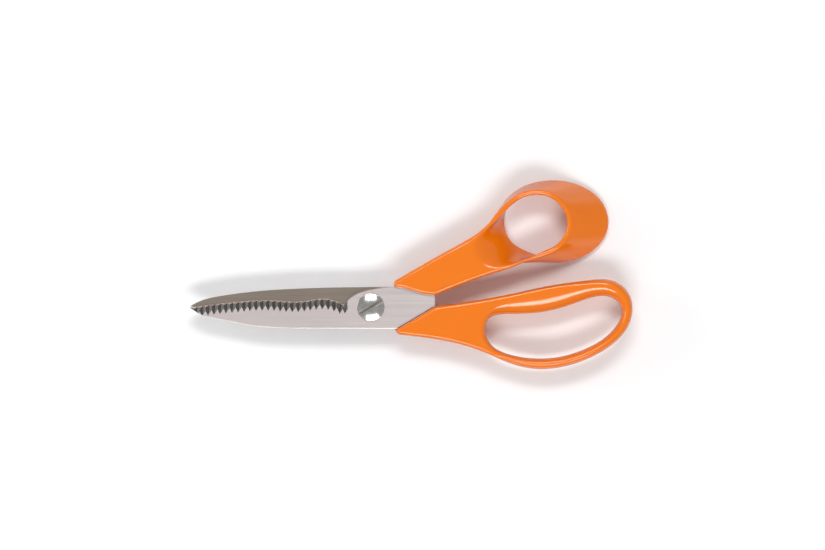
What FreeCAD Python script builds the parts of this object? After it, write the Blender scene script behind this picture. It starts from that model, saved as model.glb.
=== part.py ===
"""Pinking shears with two moulded bow handles, as a parametric FreeCAD document.

Frame: the origin is on the pivot axis, in the plane of the rear blade's back face. +Z runs along the
pivot towards the screw head, and the blades point along -X. The shears are closed, lying on a table.
Each blade is drawn lying on its inner face and then put in place, the rear one turned over.
Lengths are millimetres and angles are degrees.
"""
import FreeCAD, Part
import math
import os

from FreeCAD import Placement, Rotation, Vector

doc = FreeCAD.newDocument("shears")

# ---------------------------------------------------------------- driving dimensions
DIMENSIONS = {
    "blade_thick": 2.5,
    "ride_gap": 0.1,          # between the two blades' inner faces
    "grip_thick": 10.5,       # moulded shank, front to back
    "grip_round": 1.3,        # broken edges of the thumb handle's shank
    "finger_round": 1.8,      # rounded edges of the finger handle
    "tang_inset": 0.3,        # the steel is thinner inside the plastic
    "tooth_pitch": 2.83,
    "tooth_high": 1.0,        # ridge over valley, square to the flute
    "flute_slope": 26.0,      # flute floor against the blade's flat
    "edge_land": 0.25,        # flute floor over the inner face at the cutting edge
    "edge_slope": 64.0,       # the fine ground strip along the cutting edge
    "journal_radius": 3.0,
    "bore_radius": 3.05,
    "head_radius": 6.5,
    "head_rim": 0.7,
    "head_high": 2.0,
    "head_lift": 0.04,        # running gap under the head
    "slot_wide": 1.4,
    "slot_deep": 1.3,
    "slot_turn": 27.0,
    "spot_radius": 7.0,       # spot face round the nut
    "spot_deep": 0.3,
    "seat_radius": 6.2,       # recess that holds the friction washer
    "seat_deep": 0.5,
    "friction_radius": 6.1,
    "friction_thick": 0.58,
    "spring_radius": 5.6,
    "spring_thick": 0.5,
    "spring_dish": 0.3,
    "nut_flats": 10.0,        # across flats
    "nut_thick": 2.8,
    "nut_bore": 2.96,
    "thread_pitch": 0.8,
    "thread_root": 2.6,
    "thread_crest": 2.95,
    "stop_gap": 0.2,          # between a heel and the other handle when closed
    "bow_front": 8.6,         # height of the thumb bow's front rim over the rear blade's back
    "bow_back": -9.4,         # and of its back rim
    "bow_ease": 1.2,          # bevel round the bow's back rim, and half of it at the front
}

sheet = doc.addObject("Spreadsheet::Sheet", "sheet")
for row, (name, value) in enumerate(DIMENSIONS.items(), start=1):
    sheet.set(f"A{row}", name)
    sheet.set(f"B{row}", str(value))
    sheet.setAlias(f"B{row}", name)
doc.recompute()


def size(name):
    """A driving dimension's value, for places that have no property to bind."""
    return float(getattr(sheet, name))


FRONT_INNER = "sheet.blade_thick + sheet.ride_gap"
FRONT_FACE = f"{FRONT_INNER} + sheet.blade_thick"
GRIP_BACK = "sheet.blade_thick + sheet.ride_gap / 2 - sheet.grip_thick / 2"
HALF_GRIP = "sheet.grip_thick / 2"


def at(formula):
    """The value of a height formula."""
    return float(doc.getObject("sheet").evalExpression(formula))


# ---------------------------------------------------------------- outlines
# one blade lying on its inner face with its cutting edge towards +Y
TIP = (-85.6, -0.3)
CUTTING_EDGE = [TIP, (-76.8, 1.0), (-60.5, 2.7), (-46.9, 3.3), (-36.0, 2.6), (-28.6, 3.3),
                (-23.0, 4.0), (-18.2, 3.4), (-12.6, 1.2)]
HEEL_CURVE = [CUTTING_EDGE[-1], (-8.8, 4.7), (-1.3, 7.7), (10.8, 9.5)]
FRONT_SPINE = [(-40.0, -10.0), (-57.0, -8.6), (-70.0, -6.0), (-81.0, -3.2), TIP]
REAR_SPINE = [(-18.0, -9.2), (-40.0, -8.4), (-58.0, -7.0), (-71.0, -5.2), (-81.0, -2.7), TIP]
FRONT_HEEL = (12.4, -10.2)
REAR_HEEL = (12.4, -9.6)
HEEL_END = (30.3, 0.45)
PLATE_END = (30.3, 5.4)
# where the steel goes into the plastic
COVER = [(10.8, 9.5), (16.0, 8.7), (24.5, 6.2), PLATE_END]
FRONT_TANG = [(12.5, 9.7), (36.0, 23.0), (47.0, 28.5), (47.0, 18.5), (29.3, 5.5), (14.0, 8.5)]
REAR_TANG = [(12.5, 9.7), (36.0, 13.5), (49.0, 15.3), (49.0, 5.8), (30.3, 1.6), (29.3, 5.5), (14.0, 8.5)]
FIRST_TOOTH = -82.2
TOOTH_COUNT = 26

# shanks and bows, in place
THUMB_TOP = [(11.1, 12.2), (37.5, 27.3), (51.8, 36.0), (60.4, 44.6), (65.2, 50.6)]
THUMB_BOTTOM = [(74.6, 21.4), (68.7, 19.4), (56.8, 15.4), (37.5, 8.3), PLATE_END]
FINGER_OUTER = [(12.8, -13.0), (37.5, -16.5), (52.1, -20.8), (64.5, -26.2), (80.4, -29.4), (102.5, -24.9),
                (117.9, -14.4), (123.9, 0.5), (119.5, 9.9), (108.7, 12.9), (88.1, 10.6), (57.3, 4.4),
                (30.5, 0.35)]
FINGER_HOLE = [(54.7, -6.6), (60.9, -3.6), (74.7, -3.1), (88.1, -1.1), (103.0, 3.9), (113.8, 4.5),
               (118.7, -2.6), (111.5, -13.6), (94.8, -22.3), (79.4, -24.4), (63.5, -21.6), (54.8, -14.6),
               (54.7, -6.6)]


# ---------------------------------------------------------------- building steps
def add(kind, name, **values):
    """A new object. A text value is a formula on the sheet, and any other value is set as it is."""
    made = doc.addObject(kind, name)
    for prop, value in values.items():
        if isinstance(value, str):
            made.setExpression(prop, value)
        else:
            setattr(made, prop, value)
    return made


def lift(obj, height):
    """Raises obj to a height given as a formula."""
    obj.setExpression("Placement.Base.z", height)
    return obj


def cut(name, base, *tools):
    for i, tool in enumerate(tools, start=1):
        last = i == len(tools)
        base = add("Part::Cut", name if last else f"{name}_cut{i}", Base=base, Tool=tool)
    return base


def fuse(name, *pieces):
    return add("Part::MultiFuse", name, Shapes=list(pieces))


def curve(points):
    """A smooth curve through the points, closed when the last is the first."""
    spline = Part.BSplineCurve()
    closed = points[0] == points[-1]
    through = points[:-1] if closed else points
    spline.interpolate(Points=[Vector(x, y, 0) for x, y in through], PeriodicFlag=closed)
    return spline


def outline(name, *runs):
    """A sketch of closed outlines. A run of two points is a line, and a longer one is a smooth curve."""
    sketch = add("Sketcher::SketchObject", name)
    for run in runs:
        if len(run) == 2:
            sketch.addGeometry(Part.LineSegment(Vector(*run[0], 0), Vector(*run[1], 0)))
        else:
            sketch.addGeometry(curve(run))
    return sketch


def polygon(name, points):
    corners = points + points[:1]
    return outline(name, *[[a, b] for a, b in zip(corners, corners[1:])])


def raised(name, sketch, length, base="0"):
    """A sketch raised by a length, standing at a base height. Both are formulas."""
    made = add("Part::Extrusion", name, Base=sketch, Solid=True, Dir=Vector(0, 0, 1), LengthFwd=length)
    made.DirMode = "Custom"
    return lift(made, base)


def disc(name, radius, height, base="0"):
    return lift(add("Part::Cylinder", name, Radius=radius, Height=height), base)


def turned_over(points):
    """The same points seen from the other side of the blade."""
    return [(x, -y) for x, y in points]


def edges_at(obj, height, wanted):
    """Numbers of obj's wanted edges that lie flat at a height."""
    numbers = []
    for i, edge in enumerate(obj.Shape.Edges, start=1):
        box = edge.BoundBox
        if abs(box.ZMin - height) < 1e-4 and abs(box.ZMax - height) < 1e-4 and wanted(edge):
            numbers.append(i)
    return numbers


def eased(kind, name, base, amount, height, wanted):
    """A fillet or a chamfer along the wanted edges of base that lie flat at a height."""
    doc.recompute()
    made = add(f"Part::{kind}", name, Base=base)
    made.Edges = [(i, amount, amount) for i in edges_at(base, height, wanted)]
    return made


# ---------------------------------------------------------------- blades
def on_edge(x):
    """Y of the cutting edge at x."""
    upright = Part.LineSegment(Vector(x, -20, 0), Vector(x, 20, 0)).toShape()
    return upright.distToShape(curve(CUTTING_EDGE).toShape())[1][0][0].y


def flutes(name):
    """V cutters over the cutting edge, one to a tooth, climbing from the edge to the outer face."""
    slope = math.radians(size("flute_slope"))
    along = Vector(0, -math.cos(slope), math.sin(slope))
    inward = Vector(0, -math.sin(slope), -math.cos(slope))
    facing = Rotation(inward.cross(along), inward, along, "ZYX")
    cutters = []
    for i in range(TOOTH_COUNT):
        x = FIRST_TOOTH + i * size("tooth_pitch")
        v = add("Part::Wedge", f"{name}_flute{i + 1}", Xmin="-1.5 * sheet.tooth_pitch",
                Xmax="1.5 * sheet.tooth_pitch", Ymin="-3 * sheet.tooth_high", Ymax=0, Zmin=-3, Zmax=9,
                X2min=0, X2max=0, Z2min=-3, Z2max=9)
        v.Placement = Placement(Vector(x, on_edge(x), 0), facing)
        lift(v, "sheet.edge_land")
        cutters.append(v)
    return fuse(f"{name}_flutes", *cutters)


def edge_strip(name):
    """The waste beyond the fine ground strip: the cutting edge swept up the strip's slope."""
    back = [(x, y - 1.6 / math.tan(math.radians(size("edge_slope")))) for x, y in CUTTING_EDGE]
    low, high = curve(CUTTING_EDGE).toShape(), curve(back).toShape()
    high.translate(Vector(0, 0, 1.6))
    strip = Part.makeRuledSurface(low, high)
    waste = add("Part::Feature", f"{name}_edge_waste")
    waste.Shape = strip.extrude(Vector(0, 3, 0))
    return waste


def blade(name, spine, heel, tang):
    """A blade lying on its inner face: plate, tang, flutes and pivot bore."""
    plate = raised(f"{name}_plate", outline(
        f"{name}_outline", CUTTING_EDGE, HEEL_CURVE, COVER, [PLATE_END, HEEL_END], [HEEL_END, heel],
        [heel, spine[0]], spine), "sheet.blade_thick")
    root = raised(f"{name}_tang", polygon(f"{name}_tang_outline", tang),
                  "sheet.blade_thick - 2 * sheet.tang_inset", "sheet.tang_inset")
    blank = fuse(f"{name}_blank", plate, root)
    bore = disc(f"{name}_bore", "sheet.bore_radius", "sheet.blade_thick + 2", "-1")
    return [blank, flutes(name), edge_strip(name), bore]


front_blade = cut("front_blade", *blade("front", FRONT_SPINE, FRONT_HEEL, FRONT_TANG))
lift(front_blade, FRONT_INNER)

seat = disc("friction_seat", "sheet.seat_radius", "sheet.seat_deep + 1", "-1")
spot = disc("nut_spot_face", "sheet.spot_radius", "sheet.spot_deep + 1", "sheet.blade_thick - sheet.spot_deep")
rear_blade = cut("rear_blade", *blade("rear", REAR_SPINE, REAR_HEEL, REAR_TANG), seat, spot)
rear_blade.Placement.Rotation = Rotation(Vector(1, 0, 0), 180)
lift(rear_blade, "sheet.blade_thick")

# ---------------------------------------------------------------- thumb handle, moulded on the front blade
gap = size("stop_gap")


def heel_wall(heel):
    """The stop wall that stands a gap away from a blade's heel edge, as two points."""
    run = Vector(HEEL_END[0] - heel[0], HEEL_END[1] - heel[1], 0).normalize()
    off = Vector(run.y, -run.x, 0) * gap
    return (heel[0] + off.x, heel[1] + off.y), (HEEL_END[0] + off.x, HEEL_END[1] + off.y)


wall_low, wall_high = turned_over(heel_wall(REAR_HEEL))
wall_stop = (wall_low[0] + (wall_high[0] - wall_low[0]) * 0.85, wall_low[1] + (wall_high[1] - wall_low[1]) * 0.85)
thumb_end = [THUMB_TOP[-1], THUMB_BOTTOM[0]]
thumb_front = raised("thumb_front", outline(
    "thumb_front_outline", [COVER[0], THUMB_TOP[0]], THUMB_TOP, thumb_end, THUMB_BOTTOM, COVER[::-1]),
    HALF_GRIP, "sheet.blade_thick + sheet.ride_gap / 2")
thumb_back = raised("thumb_back", outline(
    "thumb_back_outline", [wall_low, THUMB_TOP[0]], THUMB_TOP, thumb_end, THUMB_BOTTOM,
    [PLATE_END, (29.6, 2.2)], [(29.6, 2.2), wall_stop], [wall_stop, wall_low]), HALF_GRIP, GRIP_BACK)
doc.recompute()
front_height = at(f"{GRIP_BACK} + sheet.grip_thick")
back_height = at(GRIP_BACK)
thumb_front = eased("Chamfer", "thumb_front_eased", thumb_front, size("grip_round"), front_height,
                    lambda edge: edge.CenterOfMass.x < 60)
thumb_back = eased("Chamfer", "thumb_back_eased", thumb_back, size("grip_round"), back_height,
                   lambda edge: edge.CenterOfMass.x < 60)


def ring(name, x, y, long, short, turn, height):
    """An ellipse at a height: centre, half axes and the long axis's direction."""
    made = add("Part::Ellipse", name, MajorRadius=long, MinorRadius=short)
    made.Placement = Placement(Vector(x, y, 0), Rotation(Vector(0, 0, 1), turn))
    return lift(made, height)


def tube(name, *rings):
    """A solid through rings, from the back one to the front one."""
    return add("Part::Loft", name, Sections=list(rings), Solid=True, Ruled=True)


ease = size("bow_ease")
bow_skin = tube("bow_skin", ring("skin_back_rim", 86.3, 40.5, 26.4 - ease, 19.9 - ease, 0, "sheet.bow_back"),
                ring("skin_back", 86.3, 40.5, 26.4, 19.9, 0, "sheet.bow_back + sheet.bow_ease"),
                ring("skin_front", 77.3, 38.2, 17.0, 17.0, 0, "sheet.bow_front - sheet.bow_ease / 2"),
                ring("skin_front_rim", 76.9, 38.1, 17.0 - ease / 2, 17.0 - ease / 2, 0, "sheet.bow_front"))
bow_opening = tube("bow_opening", ring("opening_back", 86.4, 39.9, 22.8, 14.9, 0, "sheet.bow_back"),
                   ring("opening_front", 76.9, 38.1, 15.0, 15.0, 0, "sheet.bow_front"))
# the thumb's run-in: a round trough that climbs out of the hole towards the shank
scoop = add("Part::Cylinder", "scoop", Radius=8.5, Height=60)
climb = Vector(-0.745, -0.372, 0.553)
scoop.Placement = Placement(Vector(77.0, 38.5, 0), Rotation(Vector(0, 0, 1), climb))
thumb_handle = cut("thumb_handle", fuse("thumb_body", thumb_front, thumb_back, bow_skin), bow_opening,
                   front_blade, scoop)

# ---------------------------------------------------------------- finger handle, moulded on the rear blade
stop_low, stop_high = heel_wall(FRONT_HEEL)
finger_start = (FINGER_OUTER[-1], stop_high)
cover = turned_over(COVER)
finger_front = raised("finger_front", outline(
    "finger_front_outline", [stop_low, FINGER_OUTER[0]], FINGER_OUTER, finger_start, [stop_high, stop_low],
    FINGER_HOLE), HALF_GRIP, "sheet.blade_thick + sheet.ride_gap / 2")
finger_back = raised("finger_back", outline(
    "finger_back_outline", [cover[0], FINGER_OUTER[0]], FINGER_OUTER, [FINGER_OUTER[-1], cover[-1]], cover,
    FINGER_HOLE), HALF_GRIP, GRIP_BACK)
finger_front = eased("Fillet", "finger_front_eased", finger_front, size("finger_round"), front_height,
                     lambda edge: edge.Length > 50)
finger_back = eased("Fillet", "finger_back_eased", finger_back, size("finger_round"), back_height,
                    lambda edge: edge.Length > 50)
finger_handle = cut("finger_handle", fuse("finger_body", finger_front, finger_back), rear_blade)

# ---------------------------------------------------------------- pivot hardware
def turned(name, profile, points):
    """A solid of revolution round the pivot. points are radius and height."""
    sketch = add("Sketcher::SketchObject", profile)
    corners = points + points[:1]
    for a, b in zip(corners, corners[1:]):
        sketch.addGeometry(Part.LineSegment(Vector(*a, 0), Vector(*b, 0)))
    sketch.Placement = Placement(Vector(0, 0, 0), Rotation(Vector(1, 0, 0), 90))
    made = add("Part::Revolution", name, Source=sketch, Axis=Vector(0, 0, 1), Angle=360, Solid=True)
    return made


# the washer that keeps the blades' faces apart, in its recess in the rear blade
friction_blank = disc("friction_blank", "sheet.friction_radius", "sheet.friction_thick",
                      "sheet.blade_thick - sheet.seat_deep")
friction_bore = disc("friction_bore", "sheet.bore_radius", "sheet.friction_thick + 2",
                     "sheet.blade_thick - sheet.seat_deep - 1")
bearing_washer = cut("bearing_washer", friction_blank, friction_bore)

# a dished spring washer, its rim on the spot face and its crown under the nut
spot_height = size("spot_deep")
crown = spot_height - size("spring_thick") - size("spring_dish")
spring_washer = turned("spring_washer", "spring_profile", [
    (size("bore_radius"), crown), (size("bore_radius"), crown + size("spring_thick")),
    (size("spring_radius"), spot_height), (size("spring_radius"), spot_height - size("spring_thick"))])

nut_top = crown
nut_blank = add("Part::Prism", "nut_blank", Polygon=6, Circumradius="sheet.nut_flats / sqrt(3)",
                Height="sheet.nut_thick")
lift(nut_blank, f"{nut_top} - sheet.nut_thick")
nut_bore = disc("nut_bore_cut", "sheet.nut_bore", "sheet.nut_thick + 2", f"{nut_top} - sheet.nut_thick - 1")
flats, thick = size("nut_flats") / 2, size("nut_thick")
corner = flats / math.cos(math.radians(30))
nut_bevel = turned("nut_bevel", "nut_bevel_profile", [
    (flats, nut_top - thick), (flats + 4, nut_top - thick), (flats + 4, nut_top - thick + 2.4)])
pivot_nut = cut("pivot_nut", nut_blank, nut_bore, nut_bevel)

# the screw: domed slotted head, plain journal through both blades, threaded end
head_base = at(FRONT_FACE) + size("head_lift")
rim_top = head_base + size("head_rim")
dome = size("head_high") - size("head_rim")
ball = (size("head_radius") ** 2 + dome ** 2) / (2 * dome)
thread_top = spot_height - 0.2
thread_end = nut_top - thick - 0.7
rings = int((thread_top - thread_end - 0.5) / size("thread_pitch"))
crest, root, pitch = size("thread_crest"), size("thread_root"), size("thread_pitch")
thread = [(root, thread_top)]
for i in range(rings):
    top = thread_top - 0.15 - i * pitch
    thread += [(root, top), (crest, top - pitch * 0.4), (crest, top - pitch * 0.5), (root, top - pitch * 0.9)]
thread += [(root, thread_end + 0.4), (root - 0.4, thread_end), (0, thread_end)]
journal = size("journal_radius")
stem = turned("screw_stem", "screw_profile", [(0, head_base + 0.1), (journal, head_base + 0.1),
                                              (journal, thread_top + 0.1)] + thread)
rim = disc("head_rim_disc", "sheet.head_radius", "sheet.head_rim", f"{head_base}")
sphere = add("Part::Sphere", "head_ball", Radius=ball)
sphere.Placement.Base = Vector(0, 0, rim_top + dome - ball)
cap = disc("head_cap_limit", "sheet.head_radius", f"{dome}", f"{rim_top}")
crown_dome = add("Part::Common", "head_dome", Base=sphere, Tool=cap)
slot = add("Part::Box", "head_slot", Length="2 * sheet.head_radius + 2", Width="sheet.slot_wide",
           Height="sheet.slot_deep + 1")
turn = Rotation(Vector(0, 0, 1), size("slot_turn"))
slot.Placement = Placement(turn.multVec(Vector(-size("head_radius") - 1, -size("slot_wide") / 2, 0)), turn)
lift(slot, f"{rim_top + dome} - sheet.slot_deep")
pivot_screw = cut("pivot_screw", fuse("screw_blank", stem, rim, crown_dome), slot)

# ---------------------------------------------------------------- out to STEP
NODES = [front_blade, rear_blade, thumb_handle, finger_handle, pivot_screw, pivot_nut, spring_washer,
         bearing_washer]
doc.recompute()
for obj in doc.Objects:
    if "Invalid" in obj.State or "Error" in obj.State:
        raise RuntimeError(f"{obj.Name}: {obj.State} {obj.getStatusString()}")
    if hasattr(obj, "Shape") and (obj.Shape.isNull() or not obj.Shape.isValid()):
        raise RuntimeError(f"{obj.Name} has no valid shape")
os.makedirs("parts", exist_ok=True)
for node in NODES:
    if len(node.Shape.Solids) != 1:
        raise RuntimeError(f"{node.Label} is {len(node.Shape.Solids)} solids")
    node.Shape.exportStep(f"parts/{node.Label}.step")
    box = node.Shape.BoundBox
    print(f"{node.Label}: {box.XLength:.2f} x {box.YLength:.2f} x {box.ZLength:.2f} mm, "
          f"z {box.ZMin:.2f} to {box.ZMax:.2f}, {node.Shape.Volume:.0f} mm3")
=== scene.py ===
import math

import bmesh
import bpy
import numpy as np
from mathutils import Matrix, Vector


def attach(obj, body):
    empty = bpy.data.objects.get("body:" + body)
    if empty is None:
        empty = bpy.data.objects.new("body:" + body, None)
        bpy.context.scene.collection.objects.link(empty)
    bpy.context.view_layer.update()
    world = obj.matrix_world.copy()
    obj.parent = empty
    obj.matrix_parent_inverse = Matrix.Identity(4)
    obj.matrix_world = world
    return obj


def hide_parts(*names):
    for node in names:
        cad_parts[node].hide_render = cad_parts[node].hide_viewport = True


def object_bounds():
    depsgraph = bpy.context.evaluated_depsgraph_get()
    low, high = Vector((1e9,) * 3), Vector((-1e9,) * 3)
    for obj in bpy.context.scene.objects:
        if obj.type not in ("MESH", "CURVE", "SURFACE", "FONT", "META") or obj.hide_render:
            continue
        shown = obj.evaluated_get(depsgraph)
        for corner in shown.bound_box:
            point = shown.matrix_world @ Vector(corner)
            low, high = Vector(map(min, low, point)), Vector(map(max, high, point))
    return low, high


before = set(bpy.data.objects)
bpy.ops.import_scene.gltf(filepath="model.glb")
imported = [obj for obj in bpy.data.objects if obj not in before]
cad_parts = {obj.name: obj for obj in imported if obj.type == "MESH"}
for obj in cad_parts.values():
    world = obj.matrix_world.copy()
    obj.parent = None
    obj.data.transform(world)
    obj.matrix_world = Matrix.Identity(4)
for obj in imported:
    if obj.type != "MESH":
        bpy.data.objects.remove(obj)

cad_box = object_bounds()


# ================================================================ front blade
# The upper blade: 2.5 mm stainless strip, blanked, drilled for the pivot, hardened and ground along its
# length. A V-shaped wheel grinds the teeth across its outer bevel, out to the blade's flat, and a fine
# strip is honed along the edge. Its tang is moulded into the thumb handle.
MM = 0.001
BLADE_THICK = 2.5
# the inner face's height over the rear blade's outer one
FRONT_INNER = 2.6
# outlines in millimetres from the pivot, the blades pointing to -x
TIP = (-85.6, -0.3)
CUTTING_EDGE = [TIP, (-76.8, 1.0), (-60.5, 2.7), (-46.9, 3.3), (-36.0, 2.6), (-28.6, 3.3),
                (-23.0, 4.0), (-18.2, 3.4), (-12.6, 1.2)]
HEEL_CURVE = [CUTTING_EDGE[-1], (-8.8, 4.7), (-1.3, 7.7), (10.8, 9.5)]
COVER = [(10.8, 9.5), (16.0, 8.7), (24.5, 6.2), (30.3, 5.4)]
HEEL_END, FRONT_HEEL = (30.3, 0.45), (12.4, -10.2)
FRONT_SPINE = [(-40.0, -10.0), (-57.0, -8.6), (-70.0, -6.0), (-81.0, -3.2), TIP]
HONED_WIDE, SPINE_EASE = 1.22, 0.12
FIRST_TOOTH, LAST_TOOTH, TEETH = -85.0, -11.8, 27
# the V wheel: its climb, how far over the inner face it starts, its half width and depth, and its turn
WHEEL_CLIMB, WHEEL_START, WHEEL_HALF, WHEEL_DEEP = math.radians(22), 0.42, 1.45, 0.95
WHEEL_LEAN = math.radians(-5)
# the last tooth ends at a wall here, and nothing is ground within this length behind it
HEEL_STOP, STOP_LONG = -10.95, 20
BORE, SEAT_DEEP, SPOT_DEEP = 3.05, 0.5, 0.3


def smooth(points, samples, closed=False):
    """Points spread evenly along the natural cubic through the given ones, in any dimension."""
    knots = np.array(points, float)
    if closed:
        knots = np.vstack([knots, knots[:1]])
    count = len(knots)
    step = np.linalg.norm(np.diff(knots, axis=0), axis=1)
    at = np.r_[0, np.cumsum(step)]
    slope = np.diff(knots, axis=0) / step[:, None]
    matrix, right = np.zeros((count, count)), np.zeros_like(knots)
    for i in range(1, count - 1):
        matrix[i, i - 1:i + 2] = step[i], 2 * (step[i - 1] + step[i]), step[i - 1]
        right[i] = 3 * (step[i] * slope[i - 1] + step[i - 1] * slope[i])
    if closed:
        matrix[0, [count - 2, 0, 1]] = step[0], 2 * (step[-1] + step[0]), step[-1]
        right[0] = 3 * (step[0] * slope[-1] + step[-1] * slope[0])
        matrix[-1, [0, -1]] = 1, -1
    else:
        matrix[0, :2], right[0] = (2, 1), 3 * slope[0]
        matrix[-1, -2:], right[-1] = (1, 2), 3 * slope[-1]
    tangent = np.linalg.solve(matrix, right)
    where = np.linspace(0, at[-1], samples, endpoint=not closed)
    i = np.clip(np.searchsorted(at, where, side="right") - 1, 0, count - 2)
    h = step[i][:, None]
    u = ((where - at[i]) / step[i])[:, None]
    return ((2 * u**3 - 3 * u**2 + 1) * knots[i] + (u**3 - 2 * u**2 + u) * h * tangent[i]
            + (3 * u**2 - 2 * u**3) * knots[i + 1] + (u**3 - u**2) * h * tangent[i + 1])


def piece(name, points, faces):
    """A new object from points in millimetres."""
    mesh = bpy.data.meshes.new(name)
    mesh.from_pydata([tuple(float(c) * MM for c in p) for p in points], [], faces)
    made = bpy.data.objects.new(name, mesh)
    bpy.context.scene.collection.objects.link(made)
    tidy_normals(made)
    return made


def tidy_normals(obj):
    """Merges doubles, then turns every face outwards."""
    work = bmesh.new()
    work.from_mesh(obj.data)
    bmesh.ops.remove_doubles(work, verts=work.verts, dist=1e-6)
    bmesh.ops.recalc_face_normals(work, faces=work.faces)
    work.to_mesh(obj.data)
    work.free()


def stacked(name, *loops):
    """A closed solid whose loops of equally many points stand one over the other."""
    n = len(loops[0])
    faces = [list(range(n))[::-1], [len(loops) * n - n + i for i in range(n)]]
    for row in range(len(loops) - 1):
        for i in range(n):
            j = (i + 1) % n
            faces.append([row * n + i, row * n + j, row * n + n + j, row * n + n + i])
    return piece(name, np.vstack(loops), faces)


def inset(loop, amount):
    """A flat loop moved inwards by an amount, with mitred corners. It runs either way round."""
    ahead = np.roll(loop, -1, axis=0) - loop
    ahead /= np.linalg.norm(ahead, axis=1)[:, None]
    area = np.sum(loop[:, 0] * np.roll(loop[:, 1], -1) - np.roll(loop[:, 0], -1) * loop[:, 1])
    inward = np.column_stack([-ahead[:, 1], ahead[:, 0]]) * np.sign(area)
    before = np.roll(inward, 1, axis=0)
    mitre = (inward + before) / (1 + np.sum(inward * before, axis=1))[:, None]
    return loop + mitre * amount


def at_height(loop, z):
    """A flat loop as points at one height."""
    return np.column_stack([loop, np.full(len(loop), float(z))])


def lathed(name, profile, closed=False):
    """A solid turned round the pivot from radius and height pairs. An open profile ends on the axis."""
    points, faces, n, around = [], [], len(profile), 128
    for i in range(around):
        a = 2 * math.pi * i / around
        points += [(r * math.cos(a), r * math.sin(a), z) for r, z in profile]
    for i in range(around):
        j = (i + 1) % around
        for k in range(n if closed else n - 1):
            m = (k + 1) % n
            faces.append([i * n + k, j * n + k, j * n + m, i * n + m])
    return piece(name, points, faces)


def frozen(obj):
    """Turns what obj's modifiers make into its plain mesh, and removes them."""
    depsgraph = bpy.context.evaluated_depsgraph_get()
    mesh = bpy.data.meshes.new_from_object(obj.evaluated_get(depsgraph))
    obj.modifiers.clear()
    obj.data = mesh


def crease(obj, degrees):
    """Smooth shading, with the edges sharper than an angle left crisp."""
    obj.data.shade_smooth()
    obj.data.set_sharp_from_angle(angle=math.radians(degrees))


class Value:
    """A shader socket. Python's arithmetic on it adds Math nodes to its tree."""

    def __init__(self, tree, socket=None):
        self.tree, self.socket = tree, socket

    def node(self, kind, settings=None, sockets=None, out=0):
        made = self.tree.nodes.new(kind)
        for key, value in (settings or {}).items():
            setattr(made, key, value)
        for key, value in (sockets or {}).items():
            if isinstance(value, Value):
                self.tree.links.new(value.socket, made.inputs[key])
            else:
                made.inputs[key].default_value = value
        return Value(self.tree, made.outputs[out])

    def math(self, operation, *values):
        return self.node("ShaderNodeMath", {"operation": operation}, dict(enumerate(values)))

    def __add__(self, other):
        return self.math("ADD", self, other)

    def __sub__(self, other):
        return self.math("SUBTRACT", self, other)

    def __rsub__(self, other):
        return self.math("SUBTRACT", other, self)

    def __mul__(self, other):
        return self.math("MULTIPLY", self, other)

    __radd__, __rmul__ = __add__, __mul__

    def between(self, low, high):
        """0 below low, 1 above high, and a smooth step from one to the other."""
        return self.node("ShaderNodeMapRange", {"interpolation_type": "SMOOTHSTEP"},
                         {"Value": self, "From Min": low, "From Max": high})

    def noise(self, place, stretch, detail=3.0, rough=0.5):
        """Noise of about 0 to 1 at a place, with a repeat count per metre along each axis."""
        where = self.node("ShaderNodeMapping", {}, {"Vector": place, "Scale": stretch})
        return self.node("ShaderNodeTexNoise", {}, {
            "Vector": where, "Scale": 1.0, "Detail": detail, "Roughness": rough})

    def blend(self, amount, first, second):
        """The first colour where amount is 0, and the second where it is 1."""
        return self.node("ShaderNodeMix", {"data_type": "RGBA"},
                         {0: amount, 6: (*first, 1), 7: (*second, 1)}, out=2)

    def bumped(self, height, depth, strength):
        return self.node("ShaderNodeBump", {},
                         {"Height": height, "Distance": depth, "Strength": strength})

    def surface(self, **sockets):
        """The tree's Principled shader, its sockets named with _ for a space."""
        shader = self.tree.nodes["Principled BSDF"]
        for key, value in sockets.items():
            socket = shader.inputs[key.replace("_", " ")]
            if isinstance(value, Value):
                self.tree.links.new(value.socket, socket)
            else:
                socket.default_value = value


def finish(name):
    """A new material, and the value that its nodes grow from."""
    material = bpy.data.materials.new(name)
    material.use_nodes = True
    return material, Value(material.node_tree)


def ground_steel(name, pale, dark, roughness, along=(18.0, 2600.0, 400.0)):
    """Stainless steel ground in one direction: fine scratches, a slow change of tone and a few marks."""
    material, at = finish(name)
    place = at.node("ShaderNodeTexCoord", out="Object")
    scratch = at.noise(place, along, 4.0, 0.65)
    band = at.noise(place, (5.0, 300.0, 60.0), 3.0)
    cloud = at.noise(place, (40.0, 60.0, 60.0), 2.0)
    wear = at.noise(place, (900.0, 1300.0, 900.0), 2.0).between(0.63, 0.74)
    tone = scratch.between(0.25, 0.75) * 0.35 + band.between(0.3, 0.7) * 0.3 + cloud * 0.35
    at.surface(Base_Color=at.blend(tone, dark, pale), Metallic=1.0,
               Roughness=roughness + scratch * 0.10 + wear * 0.05,
               Normal=at.bumped(scratch * 0.7 + band * 0.3, 0.000008, 0.55))
    return material


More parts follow.
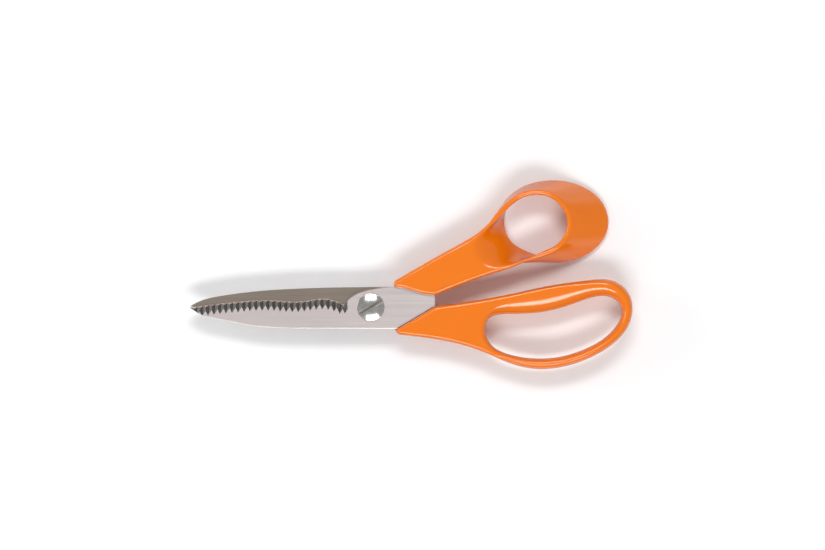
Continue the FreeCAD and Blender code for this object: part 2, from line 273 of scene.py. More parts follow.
def blade_blank(name, spine, heel):
    """The blade on its inner face before the teeth are ground, its honed strip already sloping back."""
    edge = smooth(CUTTING_EDGE, 110)
    rest = np.vstack([smooth(HEEL_CURVE, 22)[1:], smooth(COVER, 10)[1:], [HEEL_END, heel],
                      smooth(spine, 70)[:-1]])
    low = np.vstack([edge, rest])
    back = smooth(spine, 200)
    width = edge[:, 1] - np.interp(edge[:, 0], back[::-1, 0], back[::-1, 1])
    high = low.copy()
    high[:len(edge), 1] -= np.minimum(HONED_WIDE, 0.5 * width)
    blank = stacked(name, at_height(low, 0), at_height(high, BLADE_THICK))
    # the outer face's rim is eased along the spine, up to just short of the tip
    below, behind = -2.2 * MM, -83.0 * MM
    work = bmesh.new()
    work.from_mesh(blank.data)
    rim = [e for e in work.edges if all(abs(v.co.z - BLADE_THICK * MM) < 1e-7 for v in e.verts)
           and (e.verts[0].co.y + e.verts[1].co.y) / 2 < below and e.verts[0].co.x > behind]
    bmesh.ops.bevel(work, geom=rim, offset=SPINE_EASE * MM, segments=2, profile=0.5, affect="EDGES")
    work.to_mesh(blank.data)
    work.free()
    return blank


def wheel_cut(name):
    """What the V wheel takes away at one tooth: a prism that climbs from the cutting edge outwards."""
    along = Vector((0, -math.cos(WHEEL_CLIMB), math.sin(WHEEL_CLIMB)))
    up = Vector((0, math.sin(WHEEL_CLIMB), math.cos(WHEEL_CLIMB)))
    clear, before, beyond = 5, -3, 9
    section = [Vector((x, 0, WHEEL_START)) + up * h for x, h in (
        (-WHEEL_HALF, clear), (-WHEEL_HALF, WHEEL_DEEP), (0, 0), (WHEEL_HALF, WHEEL_DEEP),
        (WHEEL_HALF, clear))]
    sides = [[i, i + 5, (i + 1) % 5 + 5, (i + 1) % 5] for i in range(5)]
    cut = piece(name, [p + along * reach for reach in (before, beyond) for p in section],
                [[0, 1, 2, 3, 4], [9, 8, 7, 6, 5]] + sides)
    cut.hide_render = True
    return cut


def toothing():
    """A tree that takes a cutter away from a blade at even steps along an edge curve, up to a stop."""
    tree = bpy.data.node_groups.new("toothing", "GeometryNodeTree")
    sockets = {}
    for name, kind in (("Blade", "Geometry"), ("Cutter", "Object"), ("Edge", "Object"), ("Teeth", "Int"),
                       ("Lean", "Float"), ("Stop", "Vector"), ("Steel", "Material")):
        sockets[name] = tree.interface.new_socket(
            name, in_out="INPUT", socket_type=f"NodeSocket{kind}").identifier
    tree.interface.new_socket("Blade", in_out="OUTPUT", socket_type="NodeSocketGeometry")
    given, made = tree.nodes.new("NodeGroupInput"), tree.nodes.new("NodeGroupOutput")

    def add(kind, settings=None, **links):
        node = tree.nodes.new(kind)
        for key, value in (settings or {}).items():
            setattr(node, key, value)
        for key, source in links.items():
            tree.links.new(source, node.inputs[key.replace("_", " ")])
        return node

    edge = add("GeometryNodeObjectInfo", Object=given.outputs["Edge"])
    cutter = add("GeometryNodeObjectInfo", Object=given.outputs["Cutter"])
    places = add("GeometryNodeCurveToPoints", {"mode": "COUNT"}, Curve=edge.outputs["Geometry"],
                 Count=given.outputs["Teeth"])
    turn = add("ShaderNodeCombineXYZ", Z=given.outputs["Lean"])
    wheels = add("GeometryNodeInstanceOnPoints", Points=places.outputs["Points"],
                 Instance=cutter.outputs["Geometry"], Rotation=turn.outputs[0])
    solid = add("GeometryNodeRealizeInstances", Geometry=wheels.outputs["Instances"])
    heel = add("GeometryNodeMeshCube")
    heel.inputs["Size"].default_value = (STOP_LONG * MM, 60 * MM, 60 * MM)
    kept = add("GeometryNodeTransform", Geometry=heel.outputs["Mesh"], Translation=given.outputs["Stop"])
    cutters, ground = add("GeometryNodeMeshBoolean"), add("GeometryNodeMeshBoolean")
    for boolean, whole, taken in ((cutters, solid.outputs["Geometry"], kept.outputs["Geometry"]),
                                  (ground, given.outputs["Blade"], cutters.outputs["Mesh"])):
        boolean.operation, boolean.solver = "DIFFERENCE", "EXACT"
        tree.links.new(whole, boolean.inputs[0])
        tree.links.new(taken, boolean.inputs[1])
        boolean.inputs["Self Intersection"].default_value = True
    coat = add("GeometryNodeSetMaterial", Geometry=ground.outputs["Mesh"],
               Material=given.outputs["Steel"])
    tree.links.new(coat.outputs["Geometry"], made.inputs["Blade"])
    return tree, sockets


def edge_line(name):
    """The stretch of the cutting edge that carries teeth, as a curve."""
    run = np.vstack([smooth(CUTTING_EDGE, 400), smooth(HEEL_CURVE, 60)[1:]])
    xs = np.linspace(FIRST_TOOTH, LAST_TOOTH, 120)
    line = bpy.data.curves.new(name, "CURVE")
    line.dimensions = "3D"
    spline = line.splines.new("POLY")
    spline.points.add(len(xs) - 1)
    for point, x in zip(spline.points, xs):
        point.co = (x * MM, float(np.interp(x, run[:, 0], run[:, 1])) * MM, 0, 1)
    made = bpy.data.objects.new(name, line)
    bpy.context.scene.collection.objects.link(made)
    made.hide_render = True
    return made


def drilled(blade, seat, spot):
    """Bores a blade lying on its inner face, with a washer's seat below and a spot face above."""
    floor, face = BLADE_THICK - SPOT_DEEP, BLADE_THICK + 1
    drill = lathed("pivot_drill", [(0, face), (spot, face), (spot, floor), (BORE, floor),
                                   (BORE, SEAT_DEEP), (seat, SEAT_DEEP), (seat, -1), (0, -1)])
    hole = blade.modifiers.new("pivot_bore", "BOOLEAN")
    hole.operation, hole.solver, hole.object = "DIFFERENCE", "MANIFOLD", drill
    frozen(blade)
    bpy.data.objects.remove(drill)


def ground_blade(name, spine, heel, seat, spot):
    """A toothed, bored blade lying on its inner face, with its three finishes: the ground outer steel,
    and darker copies of it on the inner face and the flutes that are painted shade.
    """
    blank = blade_blank(name, spine, heel)
    cutter, edge = wheel_cut(f"{name}_wheel"), edge_line(f"{name}_edge_line")
    tree, keys = toothing()
    wheel = blank.modifiers.new("teeth", "NODES")
    wheel.node_group = tree
    for key, value in (("Cutter", cutter), ("Edge", edge), ("Teeth", TEETH), ("Lean", WHEEL_LEAN),
                       ("Stop", ((HEEL_STOP + STOP_LONG / 2) * MM, 0, 0)), ("Steel", outer_steel)):
        wheel[keys[key]] = value
    frozen(blank)
    bpy.data.objects.remove(cutter)
    bpy.data.objects.remove(edge)
    drilled(blank, seat, spot)
    blank.data.materials.clear()
    for steel in (outer_steel, painted_shade_inner_steel, painted_shade_flute_steel):
        blank.data.materials.append(steel)
    # the inner face gets the steel with painted shade, and the flute facets the steel with their darker
    # painted shade
    for face in blank.data.polygons:
        x, _, z = face.normal
        inner, flute = z < -0.999, 0.6 < z < 0.9 and abs(x) > 0.3
        face.material_index = 1 if inner else 2 if flute else 0
    crease(blank, 18)
    return blank


outer_steel = ground_steel("ground_outer_steel", pale=(0.90, 0.81, 0.79), dark=(0.72, 0.64, 0.63),
                           roughness=0.30)
# painted shade: the inner face gets a darker, browner copy of the blade steel, standing for the shade it
# shows; its grinding marks and roughness are real
painted_shade_inner_steel = ground_steel("inner_face_steel_painted_shade", pale=(0.52, 0.43, 0.36), dark=(0.34, 0.28, 0.23),
                           roughness=0.24)
# painted shade: the flutes get a far darker copy of the blade steel, standing for the shade and dark
# reflections between their facets; the wheel's grinding marks are real
painted_shade_flute_steel = ground_steel("flute_facets_painted_shade", pale=(0.27, 0.26, 0.24), dark=(0.15, 0.14, 0.13),
                           roughness=0.22, along=(900.0, 300.0, 300.0))

front_blade = ground_blade("front_blade_ground", FRONT_SPINE, FRONT_HEEL, BORE, BORE)
for v in front_blade.data.vertices:
    v.co.z += FRONT_INNER * MM
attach(front_blade, "front_half")
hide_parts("front_blade")

# ================================================================ rear blade
# The lower blade, of the same steel and turned over, so that its flat inner face looks up past the front
# blade's teeth. Its back is slimmer. It has the friction washer's seat and a spot face for the spring
# washer, and its tang is moulded into the finger handle.
REAR_SPINE = [(-18.0, -9.2), (-40.0, -8.4), (-58.0, -7.0), (-71.0, -5.2), (-81.0, -2.7), TIP]
REAR_HEEL, WASHER_SEAT, SPOT_FACE = (12.4, -9.6), 6.2, 7.0

rear_blade = ground_blade("rear_blade_ground", REAR_SPINE, REAR_HEEL, WASHER_SEAT, SPOT_FACE)
for v in rear_blade.data.vertices:
    v.co.y, v.co.z = -v.co.y, BLADE_THICK * MM - v.co.z
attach(rear_blade, "rear_half")
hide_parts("rear_blade")

# ================================================================ thumb handle
# Orange glass-filled plastic, injection moulded over the front blade's tang: a bevelled shank and a short
# flared tube for the thumb, its mouth leaning over so that the thumb runs in from the shank's side.

# the shank's middle plane between the blades, its front and back faces, and the bevel round them
MID, FACE, BACK, EASE = 2.55, 7.8, -2.7, 1.3
# outlines from the blade outwards, back along the lower side, and the wall that stops the rear blade
THUMB_TOP = [(11.1, 12.2), (37.5, 27.3), (51.8, 36.0), (60.4, 44.6), (64.6, 49.8)]
THUMB_BOTTOM = [(76.0, 23.0), (68.7, 19.4), (56.8, 15.4), (37.5, 8.3), (30.3, 5.4)]
THUMB_NOSE, THUMB_STOP = [(11.0, 9.5)], [(29.6, 2.2), (27.7, 1.15), (12.6, 9.85)]
# the tube's wall: its front and back centre lines and their heights, every 30 degrees from the right
MOUTH = [(94.1, 39.4), (91.6, 47.2), (85.6, 52.6), (77.6, 54.2), (69.2, 51.6), (61.6, 44.8),
         (55.6, 36.5), (53.6, 28.4), (60.0, 22.2), (74.4, 23.0), (83.5, 25.9), (90.6, 30.6)]
MOUTH_HIGH = [7.2, 7.2, 7.2, 7.2, 7.0, 6.5, 6.2, 6.2, 6.2, 6.4, 7.0, 7.2]
TAIL = [(111.3, 40.5), (108.0, 49.6), (98.8, 56.2), (86.3, 58.5), (74.0, 56.1), (65.2, 49.6),
        (61.9, 40.5), (64.8, 31.2), (72.6, 25.6), (84.8, 22.6), (98.3, 24.5), (108.0, 31.3)]
TAIL_HIGH = [-7.7, -7.7, -7.7, -7.7, -7.5, -6.6, -6.0, -6.0, -6.6, -7.5, -7.7, -7.7]
# half the wall's thickness at the front and at the back
WALL_MOUTH, WALL_TAIL = 1.4, 1.75
# how far the mouth spreads like a trumpet over the shank's face at each of them, and where it starts
TRUMPET = [0, 0, 0, 0, 0, 0.3, 2.2, 6.5, 5.6, 2.2, 0, 0]
TRUMPET_FOOT = -3
# how far inside the wall's centre line the cutter that opens the tube lies, and its levels
OPENING_INSET = 1.3
OPENING_LEVELS = (9.5, 8.3, 7.8, 7.7, 7.5, 7.2, 6.7, 6.0, 5.0, 3.5, 1.5, -1.0, -3.0, -11.0)
VOXEL, THUMB_STATIONS, THUMB_ROUNDS = 0.35, 300, 17


def slab(name, loop, face):
    """Half a shank's thickness, from the middle plane to its face, with a bevel round the face."""
    ease_up, corner = math.copysign(EASE, face - MID), 0.35
    return stacked(name, at_height(loop, MID), at_height(loop, face - ease_up),
                   at_height(inset(loop, EASE * corner), face - ease_up * corner),
                   at_height(inset(loop, EASE), face))


def swept(name, sections):
    """A closed tube through closed sections, the last joined to the first."""
    count, around = len(sections), len(sections[0])
    faces = [[i * around + j, i * around + (j + 1) % around,
              (i + 1) % count * around + (j + 1) % around, (i + 1) % count * around + j]
             for i in range(count) for j in range(around)]
    return piece(name, np.vstack(sections), faces)


def moulded(name, parts, rounds, plastic):
    """One skin over several solids, its corners softened by rounds of smoothing."""
    bpy.ops.object.select_all(action="DESELECT")
    for part in parts:
        part.select_set(True)
    bpy.context.view_layer.objects.active = parts[0]
    bpy.ops.object.join()
    whole = bpy.context.view_layer.objects.active
    whole.name = whole.data.name = name
    skin = whole.modifiers.new("skin", "REMESH")
    skin.mode, skin.voxel_size, skin.use_smooth_shade = "VOXEL", VOXEL * MM, True
    soften = whole.modifiers.new("soften", "SMOOTH")
    soften.factor, soften.iterations = 0.5, rounds
    frozen(whole)
    whole.data.materials.clear()
    whole.data.materials.append(plastic)
    whole.data.shade_smooth()
    return whole


def gloss_plastic(name, orange, painted_shade_red):
    """Smooth moulded plastic: painted shade that turns its upright walls a darker red, faint flow marks
    and fine scratches.
    """
    material, at = finish(name)
    place = at.node("ShaderNodeTexCoord", out="Object")
    normal = at.node("ShaderNodeTexCoord", out="Normal")
    facing = at.math("ABSOLUTE", at.node("ShaderNodeSeparateXYZ", {}, {"Vector": normal}, out="Z"))
    cloud = at.noise(place, (55.0, 55.0, 55.0), 3.0)
    grain = at.noise(place, (2600.0, 2600.0, 2600.0), 2.0)
    scuff = at.noise(place, (260.0, 1500.0, 900.0), 4.0, 0.7).between(0.60, 0.78)
    # painted shade: the more a wall faces sideways, the more its colour turns to the dark red, standing
    # for the shade on it; the cloud adds a faint random tone
    side = 1 - facing.between(0.0, 0.5)
    tone = side * 0.7 + (cloud - 0.5) * 0.12
    at.surface(Base_Color=at.blend(tone, orange, painted_shade_red),
               Roughness=0.11 + grain * 0.04 + scuff * 0.08, Specular_IOR_Level=0.6,
               Normal=at.bumped(grain * 0.7 + cloud * 0.3, 0.000006, 0.3))
    return material


# the orange is the plastic's own colour; the dark red is painted shade for its upright walls
orange_plastic = gloss_plastic("orange_handle_plastic", orange=(0.84, 0.185, 0.003),
                               painted_shade_red=(0.38, 0.014, 0.006))

top, bottom, cover = smooth(THUMB_TOP, 60), smooth(THUMB_BOTTOM, 60), smooth(COVER, 16)
front_loop = np.vstack([top, bottom, cover[::-1][1:-1], THUMB_NOSE])
back_loop = np.vstack([top, bottom, THUMB_STOP])

# the tube, as a section with round lips at each station round the hole
stations = smooth([(*m, h, *t, g) for m, h, t, g in zip(MOUTH, MOUTH_HIGH, TAIL, TAIL_HIGH)],
                  THUMB_STATIONS, True)
mouth, tail = stations[:, :3], stations[:, 3:]
ahead = np.roll((mouth + tail) / 2, -1, axis=0) - np.roll((mouth + tail) / 2, 1, axis=0)
down = (tail - mouth) / np.linalg.norm(tail - mouth, axis=1)[:, None]
inward = np.cross(ahead, down)
inward /= np.linalg.norm(inward, axis=1)[:, None]
lip = np.linspace(-math.pi / 2, math.pi / 2, 25)
quarters = (0.25, 0.5, 0.75)
walls = [WALL_MOUTH + (WALL_TAIL - WALL_MOUTH) * q for q in quarters]
sections = []
for m, t, d, n in zip(mouth, tail, down, inward):
    near = [m - d * WALL_MOUTH * math.cos(a) + n * WALL_MOUTH * math.sin(a) for a in lip]
    middle = [m + (t - m) * q for q in quarters]
    hole_side = [p + n * w for p, w in zip(middle, walls)]
    far = [t + d * WALL_TAIL * math.cos(a) + n * WALL_TAIL * math.sin(a) for a in lip[::-1]]
    outer_side = [p - n * w for p, w in zip(middle, walls)][::-1]
    sections.append(np.array(near + hole_side + far + outer_side))
tube = swept("thumb_tube", sections)

# the cutter that opens the tube through the shank, its mouth running out over the shank's face
lean = (tail - mouth) / (tail - mouth)[:, 2:]
outward = -inward * (1, 1, 0)
outward /= np.linalg.norm(outward, axis=1)[:, None]
spread = smooth([(*m, *t, f) for m, t, f in zip(MOUTH, TAIL, TRUMPET)], THUMB_STATIONS, True)[:, 4:]
levels = []
for z in OPENING_LEVELS:
    climb = min(max((z - TRUMPET_FOOT) / (FACE - TRUMPET_FOOT), 0), 1)
    run_out = 1 - math.sqrt(1 - climb * climb) + max(z - FACE, 0) * 0.5
    levels.append(mouth + lean * (z - mouth[:, 2:])
                  + outward * (spread.clip(0) * run_out - OPENING_INSET))
opening = stacked("thumb_opening", *levels)
halves = [slab("thumb_shank_front", front_loop, FACE), slab("thumb_shank_back", back_loop, BACK)]
for part in (tube, *halves):
    cut = part.modifiers.new("mouth", "BOOLEAN")
    cut.operation, cut.solver, cut.object = "DIFFERENCE", "MANIFOLD", opening
    frozen(part)
bpy.data.objects.remove(opening)
thumb_handle = moulded("thumb_handle_moulding", [tube, *halves], THUMB_ROUNDS, orange_plastic)
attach(thumb_handle, "front_half")
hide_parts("thumb_handle")

# ================================================================ finger handle
# The same plastic moulded over the rear blade's tang: a flat bevelled shank that opens into one long bow
# with rounded bars, broad along the top where the fingers pull and slim underneath.
FINGER_BOTTOM = [(12.8, -13.0), (37.5, -16.5), (52.1, -20.8), (62.0, -25.2)]
FINGER_TOP = [(73.0, 7.5), (57.3, 4.4), (42.0, 1.9), (30.5, 0.35)]
# the wall that stops the front blade, and the shank's end inside the bow
FINGER_STOP = [(30.4, 0.25), (12.5, -10.4)]
SHANK_END = [(62.0, -25.2), (57.0, -19.6), (54.2, -14.5), (54.0, -9.5), (55.6, -5.2), (60.5, -1.0),
             (67.0, 2.4), (73.0, 5.2)]
# the hole's edge, the outer edge, and how far across the bar its crest lies, from the shank's end over
# the top bar and back along the lower one
BOW = [(54.3, -9.9, 47.5, -9.4, 0.35), (56.4, -5.2, 52.0, 0.5, 0.45), (61.5, -3.5, 60.0, 4.6, 0.62),
       (68.5, -3.3, 67.0, 6.3, 0.80), (80.0, -2.6, 78.0, 8.8, 0.88), (92.0, 0.1, 90.0, 11.0, 0.87),
       (104.0, 4.2, 103.5, 12.8, 0.72), (112.0, 5.0, 115.2, 12.3, 0.58), (117.4, 1.8, 122.9, 5.0, 0.5),
       (118.4, -4.4, 123.3, -5.6, 0.5), (113.0, -12.5, 117.3, -15.2, 0.5),
       (103.0, -19.1, 106.0, -23.1, 0.5), (91.0, -23.2, 93.0, -27.9, 0.48),
       (78.0, -24.3, 78.0, -29.4, 0.45), (66.0, -22.5, 64.5, -26.2, 0.45),
       (57.4, -18.2, 54.8, -20.8, 0.45)]
# half the bars' depth, and how square their section is outwards, inwards and up: 1 is an ellipse
HALF_DEEP, FULL_OUT, FULL_IN, FULL_UP = 5.25, 0.8, 1.05, 0.9
BAR_STATIONS, BAR_AROUND, FINGER_ROUNDS = 360, 96, 22

end = smooth(SHANK_END, 40)
sides = [smooth(FINGER_BOTTOM, 50), end[1:-1], smooth(FINGER_TOP, 50)]
cover_back = [(x, -y) for x, y in cover[::-1]]
front_loop = np.vstack([*sides, FINGER_STOP])
back_loop = np.vstack([*sides, cover_back])
sections = []
for hx, hy, ox, oy, crest in smooth(BOW, BAR_STATIONS, True):
    hole, outer = np.array([hx, hy]), np.array([ox, oy])
    ring = []
    for a in np.linspace(0, 2 * math.pi, BAR_AROUND, endpoint=False):
        c, s = math.cos(a), math.sin(a)
        across = crest + (1 - crest) * c**FULL_OUT if c > 0 else crest - crest * abs(c) ** FULL_IN
        height = MID + math.copysign(HALF_DEEP * abs(s) ** FULL_UP, s)
        ring.append((*(hole + (outer - hole) * across), height))
    sections.append(np.array(ring))
bow = swept("finger_bow", sections)
halves = [slab("finger_shank_front", front_loop, FACE), slab("finger_shank_back", back_loop, BACK)]
finger_handle = moulded("finger_handle_moulding", [bow, *halves], FINGER_ROUNDS, orange_plastic)
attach(finger_handle, "rear_half")
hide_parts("finger_handle")

# ================================================================ pivot screw
# Turned and polished stainless: a low domed head with a driver slot milled right across it, a plain
# journal through both blades, and a threaded end that carries the nut.
HEAD_BASE, HEAD_RADIUS, HEAD_RIM, DOME = 5.14, 6.5, 0.7, 1.3
# the roll round the head's top edge and the ease under it
HEAD_ROLL, HEAD_EASE = 0.22, 0.12
SLOT_WIDE, SLOT_DEEP, SLOT_TURN, SLOT_REACH = 1.5, 1.5, math.radians(27), 8
JOURNAL_RADIUS, JOURNAL_END, THREAD_ROOT = 3.0, 0.25, 2.6
THREAD_TOP, THREAD_END, THREAD_POINT = 0.1, -4.0, 2.25
THREAD_START, THREAD_TURNS, THREAD_PITCH, THREAD_CREST = -0.35, 5, 0.8, 0.34


def polished_steel(name, pale, roughness):
    """Polished steel with faint turning rings round the pivot and a few hairline marks."""
    material, at = finish(name)
    place = at.node("ShaderNodeTexCoord", out="Object")
    flat = at.node("ShaderNodeVectorMath", {"operation": "MULTIPLY"}, {0: place, 1: (1, 1, 0)})
    away = at.node("ShaderNodeVectorMath", {"operation": "LENGTH"}, {0: flat}, out="Value")
    rings = at.math("SINE", away * 30000.0) * 0.5 + 0.5
    hairs = at.noise(place, (300.0, 3200.0, 900.0), 3.0, 0.6).between(0.62, 0.75)
    cloud = at.noise(place, (350.0, 350.0, 350.0), 2.0)
    shade = [c * 0.82 for c in pale]
    at.surface(Base_Color=at.blend(cloud.between(0.3, 0.7), shade, pale), Metallic=1.0,
               Roughness=roughness + hairs * 0.10 + cloud * 0.05,
               Normal=at.bumped(rings * 0.6 + hairs * 0.4, 0.000004, 0.25))
    return material


bright_steel = polished_steel("polished_screw_steel", pale=(0.78, 0.75, 0.73), roughness=0.12)
# painted shade: the slot gets a darker copy of the screw steel, standing for the shade inside the recess;
# its milling marks are real
painted_shade_slot_steel = ground_steel("milled_slot_painted_shade", pale=(0.42, 0.38, 0.34), dark=(0.24, 0.21, 0.19),
                            roughness=0.3, along=(900.0, 900.0, 300.0))
ball = (HEAD_RADIUS**2 + DOME**2) / (2 * DOME)
rim_top = HEAD_BASE + HEAD_RIM
crown = [(ball * math.sin(a), rim_top + DOME - ball + ball * math.cos(a))
         for a in np.linspace(0, math.asin((HEAD_RADIUS - HEAD_ROLL) / ball), 22)]
rim = [(HEAD_RADIUS - HEAD_ROLL + HEAD_ROLL * math.sin(a), rim_top - 0.14 + HEAD_ROLL * math.cos(a))
       for a in np.linspace(0.35, math.pi / 2, 6)]
screw = lathed("pivot_screw_turned", crown + rim + [
    (HEAD_RADIUS, HEAD_BASE + HEAD_EASE), (HEAD_RADIUS - HEAD_EASE, HEAD_BASE),
    (JOURNAL_RADIUS, HEAD_BASE), (JOURNAL_RADIUS, JOURNAL_END), (THREAD_ROOT, THREAD_TOP),
    (THREAD_ROOT, THREAD_END + 0.35), (THREAD_POINT, THREAD_END), (0, THREAD_END)])
c, s = math.cos(SLOT_TURN), math.sin(SLOT_TURN)
slot_floor, side = rim_top + DOME - SLOT_DEEP, SLOT_WIDE / 2
slot_plan = np.array([(c * u - s * v, s * u + c * v) for u, v in (
    (-SLOT_REACH, -side), (SLOT_REACH, -side), (SLOT_REACH, side), (-SLOT_REACH, side))])
mill = stacked("slot_mill", at_height(slot_plan, slot_floor), at_height(slot_plan, slot_floor + 4))
slot = screw.modifiers.new("slot", "BOOLEAN")
slot.operation, slot.solver, slot.object = "DIFFERENCE", "MANIFOLD", mill
burr = screw.modifiers.new("deburred", "BEVEL")
burr.limit_method, burr.angle_limit = "ANGLE", math.radians(50)
burr.width, burr.segments = 0.09 * MM, 2
frozen(screw)
bpy.data.objects.remove(mill)
screw.data.materials.clear()
screw.data.materials.append(bright_steel)
screw.data.materials.append(painted_shade_slot_steel)
# the slot's walls and floor get the steel with painted shade
for face in screw.data.polygons:
    x, y, z = face.center
    across = abs(c * y - s * x)
    face.material_index = int(across < (side + 0.01) * MM and z > (slot_floor - 0.1) * MM)
crease(screw, 35)

# the thread: a tree that copies one ridge down the screw, a pitch apart
tree = bpy.data.node_groups.new("thread", "GeometryNodeTree")
keys = {name: tree.interface.new_socket(name, in_out="INPUT", socket_type=f"NodeSocket{kind}").identifier
        for name, kind in (("Turns", "Int"), ("Pitch", "Float"), ("Root Radius", "Float"),
                           ("Crest", "Float"), ("Start", "Float"), ("Steel", "Material"))}
tree.interface.new_socket("Thread", in_out="OUTPUT", socket_type="NodeSocketGeometry")
given, made = tree.nodes.new("NodeGroupInput"), tree.nodes.new("NodeGroupOutput")
column, start, step, ring, ridge, sweep, copies, real, coat = (tree.nodes.new(kind) for kind in (
    "GeometryNodeMeshLine", "ShaderNodeCombineXYZ", "ShaderNodeCombineXYZ",
    "GeometryNodeCurvePrimitiveCircle", "GeometryNodeCurvePrimitiveCircle", "GeometryNodeCurveToMesh",
    "GeometryNodeInstanceOnPoints", "GeometryNodeRealizeInstances", "GeometryNodeSetMaterial"))
ring.inputs["Resolution"].default_value, ridge.inputs["Resolution"].default_value = 96, 8
for source, target in (
        (given.outputs["Turns"], column.inputs["Count"]), (given.outputs["Start"], start.inputs["Z"]),
        (given.outputs["Pitch"], step.inputs["Z"]), (start.outputs[0], column.inputs["Start Location"]),
        (step.outputs[0], column.inputs["Offset"]), (given.outputs["Root Radius"], ring.inputs["Radius"]),
        (given.outputs["Crest"], ridge.inputs["Radius"]), (ring.outputs["Curve"], sweep.inputs["Curve"]),
        (ridge.outputs["Curve"], sweep.inputs["Profile Curve"]),
        (column.outputs["Mesh"], copies.inputs["Points"]),
        (sweep.outputs["Mesh"], copies.inputs["Instance"]), (copies.outputs[0], real.inputs[0]),
        (real.outputs[0], coat.inputs["Geometry"]), (given.outputs["Steel"], coat.inputs["Material"]),
        (coat.outputs[0], made.inputs[0])):
    tree.links.new(source, target)
thread = piece("pivot_screw_thread", [(0, 0, 0)], [])
winding = thread.modifiers.new("winding", "NODES")
winding.node_group = tree
for key, value in (("Turns", THREAD_TURNS), ("Pitch", -THREAD_PITCH * MM), ("Steel", bright_steel),
                   ("Root Radius", THREAD_ROOT * MM), ("Crest", THREAD_CREST * MM),
                   ("Start", THREAD_START * MM)):
    winding[keys[key]] = value
frozen(thread)
thread.data.materials.clear()
thread.data.materials.append(bright_steel)
thread.data.shade_smooth()
for part in (screw, thread):
    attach(part, "rear_half")
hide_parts("pivot_screw")

# ================================================================ nut and spring washer
# A low zinc-bright hexagon nut, its corners chamfered at the back, and the dished spring washer under
# it that keeps the blades pressed together. Both are bought-in parts, put on after the blades.
FLATS, NUT_TOP, NUT_THICK, NUT_BORE, AROUND = 5.0, -0.5, 2.8, 2.96, 96
# how steeply the corners are chamfered, and the countersink of the bore
CHAMFER, COUNTERSINK = 0.58, 0.3
SPRING_PROFILE = [(3.05, -0.5), (3.05, -0.06), (3.1, 0.0), (5.55, 0.3), (5.6, 0.26), (5.6, -0.16),
                  (5.55, -0.2)]

zinc = polished_steel("zinc_bright_steel", pale=(0.60, 0.59, 0.58), roughness=0.28)
around = [2 * math.pi * i / AROUND for i in range(AROUND)]
hexagon = [FLATS / math.cos((a + math.pi / 6) % (math.pi / 3) - math.pi / 6) for a in around]
low = NUT_TOP - NUT_THICK
rows = [
    [(NUT_BORE, NUT_TOP)] * AROUND,
    [(FLATS, NUT_TOP)] * AROUND,
    [(r, NUT_TOP - 0.02) for r in hexagon],
    [(r, low + (r - FLATS) * CHAMFER) for r in hexagon],
    [(FLATS - 0.1, low)] * AROUND,
    [(NUT_BORE + COUNTERSINK, low)] * AROUND,
    [(NUT_BORE, low + COUNTERSINK)] * AROUND]
points = [(r * math.cos(a), r * math.sin(a), z) for row in rows for (r, z), a in zip(row, around)]
faces = [[k * AROUND + i, k * AROUND + (i + 1) % AROUND,
          (k + 1) % len(rows) * AROUND + (i + 1) % AROUND, (k + 1) % len(rows) * AROUND + i]
         for k in range(len(rows)) for i in range(AROUND)]
nut = piece("pivot_nut_hexagon", points, faces)
nut.data.materials.append(zinc)
crease(nut, 20)
spring = lathed("spring_washer_dished", SPRING_PROFILE, closed=True)
spring.data.materials.append(zinc)
crease(spring, 30)
for part, node in ((nut, "pivot_nut"), (spring, "spring_washer")):
    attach(part, "rear_half")
    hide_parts(node)

# ================================================================ friction washer
# A thin ring of natural nylon that lies in the rear blade's recess and keeps the two faces from galling.
# It is punched from sheet, and shows only as a hairline between the blades.
NYLON_PROFILE = [(3.05, 2.05), (3.1, 2.0), (6.05, 2.0), (6.1, 2.05), (6.1, 2.53), (6.05, 2.58),
                 (3.1, 2.58), (3.05, 2.53)]

nylon, at = finish("natural_nylon")
place = at.node("ShaderNodeTexCoord", out="Object")
speck = at.noise(place, (1500.0, 1500.0, 1500.0), 3.0)
at.surface(Base_Color=at.blend(speck, (0.70, 0.69, 0.64), (0.80, 0.79, 0.75)),
           Roughness=0.5 + speck * 0.1, Normal=at.bumped(speck, 0.00001, 0.3))
washer = lathed("friction_washer_nylon", NYLON_PROFILE, closed=True)
washer.data.materials.append(nylon)
crease(washer, 30)
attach(washer, "rear_half")
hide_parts("bearing_washer")

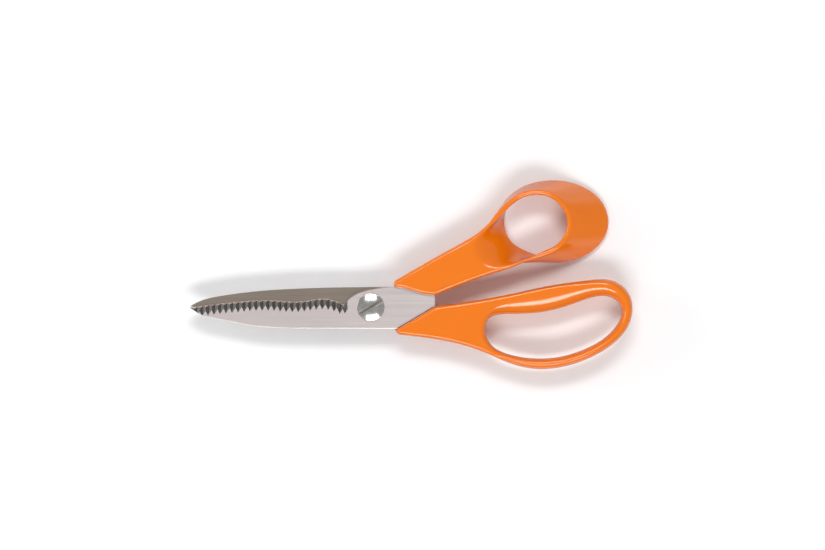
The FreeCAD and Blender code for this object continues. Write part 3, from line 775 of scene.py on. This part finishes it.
# ================================================================ studio
# A pale table under the shears, one long softbox beyond the thumb bow, a second on the near side, a weak
# third past the blades' tips, and a camera straight above.
TABLE_HALF, TABLE_DROP = 3.0, 0.0004
SENSOR, LENS = 36.0, 200.0
# the middle of the view, and how much of the table shows across it
AIM, VIEW_WIDE = (0.01977, 0.01512), 0.391

table_top = bpy.data.objects.new("table_top", bpy.data.meshes.new("table_top"))
half, level = TABLE_HALF, cad_box[0].z - TABLE_DROP
table_top.data.from_pydata([(-half, -half, level), (half, -half, level), (half, half, level),
                            (-half, half, level)], [], [[0, 1, 2, 3]])
bpy.context.scene.collection.objects.link(table_top)
paper, at = finish("pale_table")
place = at.node("ShaderNodeTexCoord", out="Object")
tooth = at.noise(place, (90.0, 90.0, 90.0), 3.0)
at.surface(Base_Color=at.blend(tooth, (0.90, 0.90, 0.90), (0.93, 0.93, 0.93)), Roughness=0.7)
table_top.data.materials.append(paper)


def softbox(name, place, size, power):
    """A rectangular lamp that faces the shears."""
    lamp = bpy.data.lights.new(name, "AREA")
    lamp.shape, lamp.size, lamp.size_y, lamp.energy = "RECTANGLE", *size, power
    holder = bpy.data.objects.new(name, lamp)
    holder.location = place
    towards = Vector((0.02, 0.01, 0)) - Vector(place)
    holder.rotation_euler = towards.to_track_quat("-Z", "Y").to_euler()
    bpy.context.scene.collection.objects.link(holder)


softbox("far_softbox", (0.0, 0.62, 1.05), (0.62, 0.26), 6.0)
softbox("near_softbox", (0.10, -0.70, 1.00), (0.76, 0.30), 7.2)
softbox("side_softbox", (-1.0, 0.25, 0.40), (0.6, 0.5), 2.6)

world = bpy.data.worlds.new("studio")
bpy.context.scene.world = world
world.use_nodes = True
world.node_tree.nodes["Background"].inputs["Color"].default_value = (0.98, 0.99, 1.0, 1)
world.node_tree.nodes["Background"].inputs["Strength"].default_value = 0.38

camera = bpy.data.objects.new("camera", bpy.data.cameras.new("camera"))
camera.data.sensor_width, camera.data.lens = SENSOR, LENS
camera.location = (*AIM, VIEW_WIDE * LENS / SENSOR)
camera.data.clip_end = 50
bpy.context.scene.collection.objects.link(camera)
bpy.context.scene.camera = camera
bpy.context.scene.view_settings.view_transform = "Standard"
